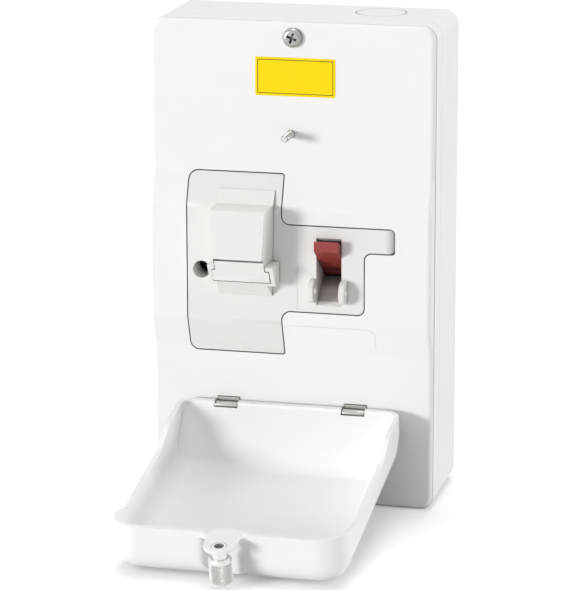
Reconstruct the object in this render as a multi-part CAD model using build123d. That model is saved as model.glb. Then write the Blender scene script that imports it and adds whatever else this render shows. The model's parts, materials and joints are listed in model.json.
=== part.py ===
# Switch fuse unit: a wall enclosure with a hinged, dished front door, shown with the door open.
# Millimetres. +Z is up, the front faces -Y and the back lies on the plane y = 0.
# The origin is the centre of the four wall-fixing holes. "Forward" means distance in front of the back plane.

from build123d import *
from math import cos, radians, sin, tan
import os

# Enclosure
WIDTH = 146.0
HEIGHT = 247.0
DEPTH = 58.0            # back plane to the front's base level
SEAM_DEPTH = 15.0       # joint between back box and cover, behind the base level
WALL = 2.5
CORNER = 7.0
EDGE_ROUND = 2.6        # front edges of the cover
FRONT_STEP = 0.35       # the front panel is this much smaller than the skirt all round
SEAM_BEVEL = 0.5
LIP_HEIGHT = 3.0        # spigot of the back box inside the cover
LIP_THICK = 1.4
LIP_GAP = 0.2

# Raised band across the cover
BAND_RISE = 6.0
BAND_Z = 0.9
BAND_HALF = 29.3        # half height of its flat part
BAND_SLOPE = 16.5       # height of each sloping part
BAND_SOFT = 7.0         # radius where slope and flat meet

# Wall fixing and cable entries
FIX_X = 100.0
FIX_INSET = 28.5        # holes from the top and bottom
FIX_R = 3.1
FIX_PAD_R = 7.0
FIX_PAD = 1.5
ENTRY_X = 37.0
ENTRY_FORWARD = 18.5
ENTRY_R = 13.0
ENTRY_GROOVE = 0.7

# Cover screws and their pillars
SCREW_X = 1.0
SCREW_INSET = 7.8       # from the top and bottom
SCREW_R = 2.0
SCREW_HEAD_R = 4.75
SCREW_HEAD = 2.9
SCREW_LENGTH = 22.0
PILLAR_R = 3.0

# Stud that the door's nut goes on
STUD_ABOVE_DOOR = 9.2   # from the far end of the closed door
STUD_R = 1.85
STUD_REACH = 14.2       # forward of the cover
STUD_NUT_AF = 7.0
STUD_NUT = 3.0
STUD_TAIL = 6.0

# Mechanism front: a main panel with an arm to the right that ends in a tab
MECH_LEFT = -52.3
MECH_RIGHT = -3.8
MECH_TOP = BAND_Z + BAND_HALF + BAND_SLOPE
MECH_BOTTOM = BAND_Z - BAND_HALF - BAND_SLOPE - 1.0
ARM_RIGHT = 38.5
ARM_BOTTOM = -21.9
ARM_TOP = 22.1
TAB_RIGHT = 53.8
TAB_BOTTOM = 10.0
MECH_GAP = 0.6          # between the mechanism front and the cover's cut-out
MECH_PLATE = 2.5
MECH_WALL = 1.8
MECH_DEPTH = 30.0       # front of the mechanism base, behind the base level
SKIRT_DEPTH = 8.0       # back edge of the mechanism front's skirt
TAB_ROUND = 4.0
POST_R = 3.0            # its own four pillars
POST_INSET = 5.0
POST_SCREW_R = 1.4
POST_HEAD_R = 2.8
POST_HEAD = 1.8
BOSS_BORE = 5.0         # depth of the screw's hole in the mechanism front
PANEL_LINE_X = 4.4      # fine line where the arm joins the main panel
LINE_WIDTH = 0.3
LINE_DEPTH = 0.12

# Access hole beside the fuse carrier
ACCESS_X = -45.2
ACCESS_Z = -2.9
ACCESS_R = 4.5
ACCESS_TUBE = 14.0

# Switch dolly and its slot
SLOT_LEFT = 14.3
SLOT_RIGHT = 27.2
SLOT_BOTTOM = -18.2
SLOT_TOP = 16.5
PIVOT_DEPTH = 13.0
DOLLY_THROW = 29.5      # degrees each side of level
DOLLY_REACH = 30.8
DOLLY_TIP_HALF = 2.4
DOLLY_ROOT_HALF = 4.6
DOLLY_HUB_R = 5.6
DOLLY_SIDE_GAP = 0.3
SHAFT_R = 2.5
SHAFT_CLEARANCE = 0.05
BEARING_WALL = 2.0
RAMP_DEPTH = 10.5
RAMP_RISE = 7.2
HUB_GAP = 0.6
HOUSING_FOOT = 12.0     # half height of the switch housing where it stands on the base

# Padlock lugs each side of the slot
LUG_PLATE = 3.0
LUG_R = 6.0
LUG_Z = -10.5
LUG_RISE = 8.0
LUG_HOLE_AHEAD = 1.0
LUG_HOLE_R = 2.0

# Pull-out fuse carrier, from the side: forward and up
CARRIER_LEFT = -36.8
CARRIER_RIGHT = -7.4
CARRIER_TOP = 38.8
APEX_RISE = 3.4
SHOULDER_Z = 31.9
SHOULDER_RISE = 7.2
CARRIER_RISE = 24.0
FLAP_TOP_Z = 7.2
CHIN_Z = -4.8
CHIN_RISE = 17.0
CARRIER_BOTTOM = -14.6
DRAFT_HIGH = 0.6        # each side narrows by this much to the front, at the shoulder
DRAFT_LOW = 3.5         # and by this much at the bottom
CARRIER_LIFT = 0.3      # running gap in front of the mechanism front
PLUG_INSET = 1.2        # the part inside the socket is this much smaller all round
SOCKET_GAP = 0.35
SOCKET_WALL = 1.6
SEAT_GAP = 0.05
PLUG_DEPTH = 20.0
CARRIER_WALL = 2.2
PAD_PROUD = 2.8
PAD_PROUD_LEFT = 1.3
PAD_TOP = 3.4
PAD_BOTTOM = -7.4
PAD_SET_BACK = 0.5

# Flap at the foot of the carrier
FLAP_LEFT = -34.0
FLAP_RIGHT = -8.8
FLAP_WIDER = 2.0        # each side of the foot of the flap
FLAP_STEP_Z = 0.8
FLAP_GAP = 0.3
FLAP_NICK = 1.1         # finger gap above the flap
FLAP_THICK = 1.8
FLAP_BACK_GAP = 0.5
FLAP_PIN_R = 0.8
FLAP_PIN_CLEARANCE = 0.05
FLAP_KNUCKLE_R = 2.0
FLAP_KNUCKLE_GAP = 0.25
FLAP_PIN_END = 1.2      # metal of the pads beyond the pin's ends

# Cartridge fuse and its contacts
FUSE_DEPTH = 3.0
FUSE_Z = 11.5
FUSE_LENGTH = 35.0
FUSE_R = 6.35
FUSE_BARREL_R = 5.9
FUSE_CAP = 6.5
CAP_ROUND = 0.6
CLIP_SKIN = 0.8
CLIP_SLACK = 0.05
BLADE_WIDE = 9.0
BLADE_THICK = 1.6
BLADE_DEPTH = 27.0
JAW_SKIN = 0.9
JAW_GAP = 0.3
JAW_DEEP = 8.0
CONTACT_GAP = 0.3

# Rotary switch blades on the dolly shaft
SHAFT_LEFT = 4.6
SHAFT_RIGHT = 36.4
ROTOR_LINE_X = 9.0
ROTOR_NEUTRAL_X = 32.4
ROTOR_HALF = 15.4
ROTOR_WIDE = 6.0
ROTOR_THICK = 1.6
ROTOR_HUB_R = 4.2
SWITCH_JAW_GRIP = 5.0

# Mechanism base and terminals
BASE_LEFT = -50.0
BASE_RIGHT = 52.0
BASE_TOP = 62.0
BASE_BOTTOM = -60.0
BASE_THICK = 6.0
BASE_POST_R = 4.5
BASE_POST_INSET = 8.0
BASE_SCREW_R = 1.9
BASE_SCREW_HEAD_R = 3.6
BASE_SCREW_HEAD = 2.2
TERMINAL_WIDE = 10.0
TERMINAL_TALL = 13.0
TERMINAL_DEEP = 12.0
TERMINAL_BORE_R = 3.0
TERMINAL_SCREW_R = 1.9
TERMINAL_Z = 54.0
LINK_THICK = 1.6
LINK_WIDE = 6.0

# Earth terminal on the floor of the box
EARTH_X = 56.0
EARTH_INSET = 50.0      # from the bottom
EARTH_TALL = 26.0
EARTH_WIDE = 9.0
EARTH_DEEP = 9.0
EARTH_PITCH = 12.0

# Door, measured closed: along the door from its hinge axis, and out from its rim
DOOR_HALF = 57.6
DOOR_LONG = 132.15
DOOR_DEEP = 27.0
DOOR_GAP = 0.35
DOOR_WALL = 2.5
DOOR_CORNER = 14.0
DOOR_NEAR_CORNER = 7.0
DOOR_CROWN = 12.5
DOOR_SOFT = 12.0        # radius between hinge-side slope and crown
DOOR_SLOPE_START = 2.6
DOOR_SLOPE_FOOT = -0.6
DOOR_SLOPE_END = 25.0
DOOR_RIM = 2.1          # inner edge of the rim at the hinge, from the axis
BEAD_R = 2.9
HINGE_Z = -74.05
OPEN_ANGLE = 101.7

# Hinge clips and pins
CLIP_X = 33.0
CLIP_WIDE = 11.4
CLIP_THICK = 0.85
CLIP_TAB = 3.7
CLIP_TAIL = 8.0
CLIP_SIDE_GAP = 0.4
PIN_R = 1.1
PIN_CLEARANCE = 0.06
PIN_HALF = 10.0

# Lug of the door and the thumb nut that turns in it
LUG_TOP = 1.2
LUG_THICK = 1.8
DOOR_LUG_R = 8.0
DOOR_LUG_BACK = 2.5     # centre of the lug's round end, back from the nut
LUG_FLARE = 4.0         # radius where the lug widens to the wall
NOTCH_HALF = 8.6
NOTCH_SLOPE = 2.2
SCOOP_R = 16.0
SCOOP_DEEP = 5.0
SCOOP_SOFT = 5.0        # radius where the scoop runs out into the wall
SPIGOT_R = 3.0
SPIGOT_CLEARANCE = 0.05
FLARE_R = 3.45          # end of the spigot, spun over to hold the nut in the lug
FLARE_THICK = 0.55
FLARE_RECESS_R = 3.65
NECK_R = 3.65
NUT_R = 5.6
NUT_END = 21.3
NUT_SHOULDER = 7.2
NUT_BEVEL = 1.1
NUT_END_ROUND = 1.6
NUT_LEAD_R = 2.45
NUT_THREAD_R = STUD_R + 0.1
NUT_THREAD_START = 10.9
NUT_THREAD = 5.0

# Labels, bare of any print
LABEL_SKIN = 0.15
YELLOW_LEFT = -18.2
YELLOW_RIGHT = 22.6
YELLOW_INSET = 17.9     # from the top
YELLOW_TALL = 19.3
WHITE_LEFT = -1.8
WHITE_RIGHT = 44.0
WHITE_BOTTOM = -43.5
WHITE_TOP = -29.6
WHITE_ROUND = 4.0

BAND_FORWARD = DEPTH + BAND_RISE
SEAM = DEPTH - SEAM_DEPTH
MECH_BACK = DEPTH - MECH_DEPTH
MECH_SKIRT = DEPTH - SKIRT_DEPTH
PIVOT_FORWARD = DEPTH - PIVOT_DEPTH
LUG_FORWARD = DEPTH + LUG_RISE
CARRIER_APEX = DEPTH + APEX_RISE
SHOULDER_FORWARD = DEPTH + SHOULDER_RISE
CARRIER_FORWARD = DEPTH + CARRIER_RISE
CHIN_FORWARD = DEPTH + CHIN_RISE
PLUG_BACK = DEPTH - PLUG_DEPTH
FUSE_FORWARD = DEPTH - FUSE_DEPTH
BLADE_TIP = DEPTH - BLADE_DEPTH
SCREW_Z = HEIGHT / 2 - SCREW_INSET
STUD_Z = HINGE_Z + DOOR_LONG + STUD_ABOVE_DOOR
YELLOW_TOP = HEIGHT / 2 - YELLOW_INSET
FIX_Z = HEIGHT - 2 * FIX_INSET
EARTH_Z = EARTH_INSET - HEIGHT / 2
PIVOT_Z = (SLOT_BOTTOM + SLOT_TOP) / 2
SLOT_HALF = (SLOT_TOP - SLOT_BOTTOM) / 2
CARRIER_X = (CARRIER_LEFT + CARRIER_RIGHT) / 2
RIM_FORWARD = DEPTH + DOOR_GAP
AXIS_FORWARD = RIM_FORWARD + BEAD_R
BASE_FORWARD = MECH_BACK - BASE_THICK


def slab(x0, x1, f0, f1, z0, z1):
    """A box between two values across, forward and up."""
    middle = Pos((x0 + x1) / 2, -(f0 + f1) / 2, (z0 + z1) / 2)
    return middle * Box(x1 - x0, f1 - f0, z1 - z0)


def front(sketch, start, stop):
    """A front-view sketch of x and z, made solid between two forward positions."""
    return extrude(Plane.XZ.offset(start) * sketch, amount=stop - start)


def side(points, x0, x1):
    """A polygon of forward and up values, made solid between two values across."""
    sketch = make_face(Polyline([(-f, z) for f, z in points], close=True))
    return extrude(Plane.YZ.offset(x0) * sketch, amount=x1 - x0)


def peg(x, z, radius, start, stop):
    """A round bar along the forward direction."""
    return front(Pos(x, z) * Circle(radius), start, stop)


def bar(forward, z, radius, x0, x1):
    """A round bar across the part."""
    return extrude(Plane.YZ.offset(x0) * Pos(-forward, z) * Circle(radius), amount=x1 - x0)


def rounded(corners):
    """A polygon of x, z and corner radius."""
    shape = make_face(Polyline([(x, z) for x, z, r in corners], close=True))
    for x, z, r in corners:
        shape = fillet(shape.vertices().sort_by_distance((x, z, 0))[0], r)
    return shape


def window(left, right, bottom, top, radius):
    """A rounded rectangle on the front view."""
    return Pos((left + right) / 2, (bottom + top) / 2) * RectangleRounded(right - left, top - bottom, radius)


def behind_front(gap=0.0):
    """All that lies behind the cover's front surface, with that surface moved forward by gap."""
    low = BAND_Z - BAND_HALF
    high = BAND_Z + BAND_HALF
    bends = [
        (DEPTH, low - BAND_SLOPE),
        (BAND_FORWARD, low),
        (BAND_FORWARD, high),
        (DEPTH, high + BAND_SLOPE),
    ]
    line = [(0, -HEIGHT), (DEPTH, -HEIGHT)] + bends + [(DEPTH, HEIGHT), (0, HEIGHT)]
    shape = make_face(Polyline([(-f, z) for f, z in line], close=True))
    for f, z in bends:
        shape = fillet(shape.vertices().sort_by_distance((-f, z, 0))[0], BAND_SOFT)
    if gap:
        shape = offset(shape, amount=gap, kind=Kind.INTERSECTION)
    return extrude(Plane.YZ.offset(-WIDTH) * shape, amount=2 * WIDTH)


def mechanism_outline():
    return rounded([
        (MECH_LEFT, MECH_BOTTOM, 4.0),
        (MECH_RIGHT, MECH_BOTTOM, 1.0),
        (MECH_RIGHT, ARM_BOTTOM, 5.0),
        (ARM_RIGHT, ARM_BOTTOM, 3.0),
        (ARM_RIGHT, TAB_BOTTOM, 4.0),
        (TAB_RIGHT, TAB_BOTTOM, 1.0),
        (TAB_RIGHT, ARM_TOP, 2.0),
        (MECH_RIGHT, ARM_TOP, 4.5),
        (MECH_RIGHT, MECH_TOP, 1.0),
        (MECH_LEFT, MECH_TOP, 4.5),
    ])


def box_outline(inset):
    return RectangleRounded(WIDTH - 2 * inset, HEIGHT - 2 * inset, CORNER - inset)


def back_box():
    body = front(box_outline(0), 0, SEAM)
    body = chamfer(body.faces().sort_by(Axis.Y)[0].edges(), SEAM_BEVEL)
    body += front(box_outline(WALL + LIP_GAP), SEAM - SEAM_BEVEL, SEAM + LIP_HEIGHT)
    body -= front(box_outline(WALL + LIP_GAP + LIP_THICK), WALL, DEPTH)
    for x in (-FIX_X / 2, FIX_X / 2):
        for z in (-FIX_Z / 2, FIX_Z / 2):
            body += peg(x, z, FIX_PAD_R, WALL, WALL + FIX_PAD)
            body -= peg(x, z, FIX_R, 0, DEPTH)
    for z in (-SCREW_Z, SCREW_Z):
        wall_z = (HEIGHT / 2 - WALL) * (1 if z > 0 else -1)
        low, high = sorted((z, wall_z))
        pillar = peg(SCREW_X, z, PILLAR_R, WALL, DEPTH - WALL)
        pillar += slab(SCREW_X - PILLAR_R, SCREW_X + PILLAR_R, WALL, SEAM, low, high)
        body += pillar
        body -= peg(SCREW_X, z, SCREW_R, DEPTH - SCREW_LENGTH - WALL, DEPTH)
    for x, z in base_posts():
        body += peg(x, z, BASE_POST_R, WALL, BASE_FORWARD)
        body -= peg(x, z, BASE_SCREW_R, WALL + FIX_PAD, BASE_FORWARD)
    for z in (EARTH_Z - EARTH_TALL / 2, EARTH_Z + EARTH_TALL / 2):
        left, right = EARTH_X - EARTH_WIDE / 2, EARTH_X + EARTH_WIDE / 2
        body += slab(left, right, WALL, WALL + FIX_PAD, z - FIX_PAD, z + FIX_PAD)
    ring = Circle(ENTRY_R) - Circle(ENTRY_R - ENTRY_GROOVE)
    for z in (-HEIGHT / 2, HEIGHT / 2 - ENTRY_GROOVE):
        body -= extrude(Pos(ENTRY_X, -ENTRY_FORWARD, z) * ring, amount=ENTRY_GROOVE)
    return body


def front_cover():
    skin = behind_front()
    shell = front(box_outline(0), SEAM, DEPTH - EDGE_ROUND)
    shell += front(box_outline(FRONT_STEP), SEAM, BAND_FORWARD + WALL) & skin
    brim = [e for e in shell.edges() if on_front_edge(e)]
    shell = fillet(brim, EDGE_ROUND - FRONT_STEP)
    shell = chamfer(shell.faces().sort_by(Axis.Y)[-1].outer_wire().edges(), SEAM_BEVEL)
    shell -= front(box_outline(WALL), SEAM, BAND_FORWARD) & behind_front(-WALL)
    shell -= front(offset(mechanism_outline(), amount=MECH_GAP), SEAM, BAND_FORWARD + WALL)
    for z in (-SCREW_Z, SCREW_Z):
        shell -= peg(SCREW_X, z, SCREW_R + LIP_GAP, SEAM, DEPTH + WALL)
    shell -= peg(0, STUD_Z, STUD_R + LIP_GAP, SEAM, DEPTH + WALL)
    for x in (-CLIP_X, CLIP_X):
        half = CLIP_WIDE / 2 + LIP_GAP
        top = HINGE_Z + CLIP_TAB
        shell -= slab(x - half, x + half, SEAM, DEPTH + WALL, top - CLIP_THICK - LIP_GAP, top + LIP_GAP)
    return shell


def on_front_edge(edge):
    """Whether an edge of the cover runs round the rim of its front surface."""
    middle = edge.position_at(0.5)
    half_x = WIDTH / 2 - FRONT_STEP
    half_z = HEIGHT / 2 - FRONT_STEP
    inner = CORNER
    near_side = abs(abs(middle.X) - half_x) < 0.01 or abs(abs(middle.Z) - half_z) < 0.01
    in_corner = abs(middle.X) > half_x - inner and abs(middle.Z) > half_z - inner
    ends = [edge.position_at(0), edge.position_at(1)]
    return (near_side or in_corner) and all(-p.Y > DEPTH - 0.01 for p in ends)


def cover_screw(z):
    head = Plane.XZ.offset(DEPTH) * Circle(SCREW_HEAD_R)
    screw = extrude(head, amount=SCREW_HEAD)
    screw = fillet(screw.faces().sort_by(Axis.Y)[0].edges(), SCREW_HEAD * 0.6)
    arm = SCREW_HEAD_R * 0.55
    for turn in (0, 90):
        slot = Rot(0, turn + 20, 0) * slab(-arm, arm, -SCREW_HEAD, SCREW_HEAD * 0.7, -0.6, 0.6)
        screw -= Pos(0, -DEPTH - SCREW_HEAD, 0) * slot
    screw += peg(0, 0, SCREW_R - SHAFT_CLEARANCE, DEPTH - SCREW_LENGTH, DEPTH)
    return Pos(SCREW_X, 0, z) * screw


def door_stud():
    stud = peg(0, STUD_Z, STUD_R, DEPTH - WALL - STUD_TAIL, DEPTH + STUD_REACH)
    stud = chamfer(stud.edges().group_by(Axis.Y)[0], STUD_R * 0.3)
    return stud + peg(0, STUD_Z, STUD_R * 1.9, DEPTH - WALL - 1, DEPTH - WALL)


def stud_lock_nut():
    back = DEPTH - WALL - 1 - STUD_NUT
    hexagon = RegularPolygon(STUD_NUT_AF / 2, 6, major_radius=False) - Circle(STUD_R + SHAFT_CLEARANCE)
    return front(Pos(0, STUD_Z) * hexagon, back, back + STUD_NUT)


def mechanism_front():
    outline = mechanism_outline()
    shell = front(outline, MECH_SKIRT, BAND_FORWARD + WALL) & behind_front()

    # rounded end of the tab
    round_x, round_f = TAB_RIGHT - TAB_ROUND, BAND_FORWARD - TAB_ROUND
    low, high = TAB_BOTTOM - 1, ARM_TOP + 1
    corner = slab(round_x, TAB_RIGHT + 1, round_f, BAND_FORWARD + 1, low, high)
    roll = extrude(Pos(round_x, -round_f, low) * Circle(TAB_ROUND), amount=high - low)
    shell -= corner - roll
    room = front(offset(outline, amount=-MECH_WALL), MECH_SKIRT, BAND_FORWARD) & behind_front(-MECH_PLATE)
    shell -= room

    # openings for the fuse carrier, the access hole and the switch dolly
    left, right, low, high = socket_room()
    shell -= slab(left, right, MECH_SKIRT, BAND_FORWARD + WALL, low, high)
    tube = peg(ACCESS_X, ACCESS_Z, ACCESS_R + MECH_WALL, BAND_FORWARD - ACCESS_TUBE, BAND_FORWARD)
    tube &= behind_front()
    shell += tube & front(offset(outline, amount=-MECH_WALL / 2), MECH_BACK, BAND_FORWARD + WALL)
    shell -= peg(ACCESS_X, ACCESS_Z, ACCESS_R, MECH_BACK, BAND_FORWARD + WALL)
    inner_front = BAND_FORWARD - MECH_PLATE
    shell -= slab(SLOT_LEFT, SLOT_RIGHT, MECH_SKIRT, BAND_FORWARD + WALL, SLOT_BOTTOM, SLOT_TOP)
    for end in (-1, 1):
        edge = PIVOT_Z + end * SLOT_HALF
        bevelled = edge - end * ramp_rise(inner_front)
        bevel = [(BAND_FORWARD, edge), (inner_front, edge), (inner_front, bevelled)]
        shell += side(bevel, SLOT_LEFT, SLOT_RIGHT)

    # padlock lugs
    for x0 in (SLOT_LEFT - LUG_PLATE, SLOT_RIGHT):
        x1 = x0 + LUG_PLATE
        lug = bar(LUG_FORWARD, LUG_Z, LUG_R, x0, x1)
        lug += slab(x0, x1, inner_front, LUG_FORWARD, LUG_Z - LUG_R, LUG_Z + LUG_R)
        lug = fillet(lug.edges().filter_by(GeomType.CIRCLE), 0.5)
        lug -= slab(x0, x1, MECH_BACK, inner_front, LUG_Z - LUG_R, LUG_Z + LUG_R)
        shell += lug
        shell -= bar(LUG_FORWARD + LUG_HOLE_AHEAD, LUG_Z, LUG_HOLE_R, x0, x1)

    # bosses for the pillars' screws
    for x, z in pillar_places():
        shell += peg(x, z, POST_R, MECH_SKIRT, BAND_FORWARD) & behind_front(-MECH_PLATE / 2)
        shell -= peg(x, z, POST_SCREW_R, MECH_SKIRT, MECH_SKIRT + BOSS_BORE)

    # fine line between main panel and arm
    line_start = BAND_FORWARD - LINE_DEPTH
    line_stop, line_top = BAND_FORWARD + WALL, ARM_TOP - CORNER
    shell -= slab(PANEL_LINE_X, PANEL_LINE_X + LINE_WIDTH, line_start, line_stop, ARM_BOTTOM, line_top)
    return shell


def ramp_rise(forward):
    """How far the ramp at an end of the slot stands in from the slot's edge."""
    return RAMP_RISE * (BAND_FORWARD - forward) / RAMP_DEPTH


def socket_room():
    """Left, right, lower and upper side of the room that the fuse carrier plugs into."""
    gap = PLUG_INSET - SOCKET_GAP
    return CARRIER_LEFT + gap, CARRIER_RIGHT - gap, CARRIER_BOTTOM + gap, CARRIER_TOP - gap


def fuse_socket():
    """Sleeve between base and mechanism front, with passages for the copper strips."""
    left, right, low, high = socket_room()
    wall = SOCKET_WALL
    sleeve = slab(left - wall, right + wall, MECH_BACK, BAND_FORWARD, low - wall, high + wall)
    sleeve &= behind_front(-MECH_PLATE - SEAT_GAP)
    sleeve -= slab(left, right, MECH_BACK, BAND_FORWARD, low, high)
    half = LINK_WIDE / 2 + LIP_GAP
    passage = MECH_BACK + LINK_THICK + LIP_GAP
    left, right = CARRIER_X - half, CARRIER_X + half
    return sleeve - slab(left, right, MECH_BACK, passage, low - 2 * wall, high + 2 * wall)


def switch_housing():
    """Bearing walls of the dolly, joined above and below it by the ramps of its well."""
    seat = BAND_FORWARD - MECH_PLATE - SEAT_GAP
    ramp_f = BAND_FORWARD - RAMP_DEPTH
    outside = SLOT_HALF + MECH_WALL
    cheek = [
        (MECH_BACK, -HOUSING_FOOT),
        (ramp_f, -outside),
        (seat, -outside),
        (seat, outside),
        (ramp_f, outside),
        (MECH_BACK, HOUSING_FOOT),
    ]
    left, right = SLOT_LEFT - BEARING_WALL, SLOT_RIGHT + BEARING_WALL
    housing = side(cheek, left, SLOT_LEFT) + side(cheek, SLOT_RIGHT, right)
    housing -= bar(PIVOT_FORWARD, 0, SHAFT_R + SHAFT_CLEARANCE, left, right)
    for end in (-1, 1):
        ramp = [
            (seat, SLOT_HALF - ramp_rise(seat)),
            (ramp_f, SLOT_HALF - RAMP_RISE),
            (PIVOT_FORWARD, DOLLY_HUB_R + HUB_GAP),
            (PIVOT_FORWARD, DOLLY_HUB_R + HUB_GAP + MECH_WALL),
            (ramp_f, SLOT_HALF - RAMP_RISE + MECH_WALL),
            (seat, outside),
        ]
        housing += side([(f, end * z) for f, z in ramp], SLOT_LEFT, SLOT_RIGHT)
    return Pos(0, 0, PIVOT_Z) * housing


def pillar_places():
    """Pillars under the mechanism front: three below the main panel and one below the tab."""
    left, right = MECH_LEFT + POST_INSET, MECH_RIGHT - POST_INSET
    return [
        (left, MECH_BOTTOM + POST_INSET),
        (right, MECH_BOTTOM + POST_INSET),
        (left, MECH_TOP - POST_INSET),
        (TAB_RIGHT - POST_INSET, (TAB_BOTTOM + ARM_TOP) / 2),
    ]


def pillars():
    """Round pillars between the base and the mechanism front, as one group."""
    bored = []
    for x, z in pillar_places():
        bore = peg(x, z, POST_SCREW_R + SHAFT_CLEARANCE, MECH_BACK, MECH_SKIRT)
        bored.append(peg(x, z, POST_R, MECH_BACK, MECH_SKIRT) - bore)
    return Compound(children=bored)


def pillar_screws():
    """Screws from behind the base, through the pillars and into the mechanism front, as one group."""
    screws = []
    for x, z in pillar_places():
        head = peg(x, z, POST_HEAD_R, BASE_FORWARD - POST_HEAD, BASE_FORWARD)
        shank = peg(x, z, POST_SCREW_R - SHAFT_CLEARANCE, BASE_FORWARD, MECH_SKIRT + BOSS_BORE - 1)
        screws.append(head + shank)
    return Compound(children=screws)


def base_posts():
    xs = (BASE_LEFT + BASE_POST_INSET, BASE_RIGHT - BASE_POST_INSET)
    zs = (BASE_BOTTOM + BASE_POST_INSET, BASE_TOP - BASE_POST_INSET)
    return [(xs[0], zs[0]), (xs[0], zs[1]), (xs[1], zs[0]), (xs[1], zs[1])]


def mechanism_base():
    base = front(window(BASE_LEFT, BASE_RIGHT, BASE_BOTTOM, BASE_TOP, 3.0), BASE_FORWARD, MECH_BACK)
    for x, z in base_posts():
        base -= peg(x, z, BASE_SCREW_R + SHAFT_CLEARANCE, BASE_FORWARD, MECH_BACK)
    for x, z in pillar_places():
        base -= peg(x, z, POST_SCREW_R + SHAFT_CLEARANCE, BASE_FORWARD, MECH_BACK)
    return base


def base_screw(x, z):
    screw = peg(x, z, BASE_SCREW_HEAD_R, MECH_BACK, MECH_BACK + BASE_SCREW_HEAD)
    screw = fillet(screw.faces().sort_by(Axis.Y)[0].edges(), BASE_SCREW_HEAD * 0.5)
    left, right = x - BASE_SCREW_HEAD_R, x + BASE_SCREW_HEAD_R
    screw -= slab(left, right, MECH_BACK + BASE_SCREW_HEAD / 2, DEPTH, z - 0.5, z + 0.5)
    return screw + peg(x, z, BASE_SCREW_R - SHAFT_CLEARANCE, WALL + 3 * FIX_PAD, MECH_BACK)


def carrier_profile():
    return [
        (PLUG_BACK, CARRIER_TOP),
        (CARRIER_APEX, CARRIER_TOP),
        (SHOULDER_FORWARD, SHOULDER_Z),
        (CARRIER_FORWARD, SHOULDER_Z),
        (CARRIER_FORWARD, FLAP_TOP_Z),
        (CHIN_FORWARD, CHIN_Z),
        (BAND_FORWARD + CARRIER_LIFT, CARRIER_BOTTOM),
        (PLUG_BACK, CARRIER_BOTTOM),
    ]


def flap_lean():
    """How far the flap's front goes back for each millimetre down."""
    return (CARRIER_FORWARD - CHIN_FORWARD) / (FLAP_TOP_Z - CHIN_Z)


def flap_pin_at():
    """Forward and up position of the flap's pin: its knuckle touches the chin's edge from inside."""
    lean = flap_lean()
    length = (1 + lean * lean) ** 0.5
    return CHIN_FORWARD - FLAP_KNUCKLE_R / length, CHIN_Z + FLAP_KNUCKLE_R * lean / length


def flap_widths(gap):
    """Left and right of the flap's upper part, then of its wider foot, grown by gap."""
    left, right = FLAP_LEFT - gap, FLAP_RIGHT + gap
    return left, right, left - FLAP_WIDER, right + FLAP_WIDER


def carrier_block():
    """The carrier's front part: full width at the mechanism front, narrower to the front and to the foot."""
    tall = CARRIER_TOP - CARRIER_BOTTOM
    rate = (DRAFT_LOW - DRAFT_HIGH) / (SHOULDER_Z - CARRIER_BOTTOM)
    draft_top = DRAFT_LOW - rate * tall
    outlines = []
    for forward, top, low in ((DEPTH, 0, 0), (CARRIER_FORWARD, draft_top, DRAFT_LOW)):
        corners = [
            (CARRIER_LEFT + low, CARRIER_BOTTOM),
            (CARRIER_RIGHT - low, CARRIER_BOTTOM),
            (CARRIER_RIGHT - top, CARRIER_TOP),
            (CARRIER_LEFT + top, CARRIER_TOP),
        ]
        outlines.append(Plane.XZ.offset(forward) * make_face(Polyline(corners, close=True)))
    return loft(outlines, ruled=True) & side(carrier_profile(), CARRIER_LEFT, CARRIER_RIGHT)


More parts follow.
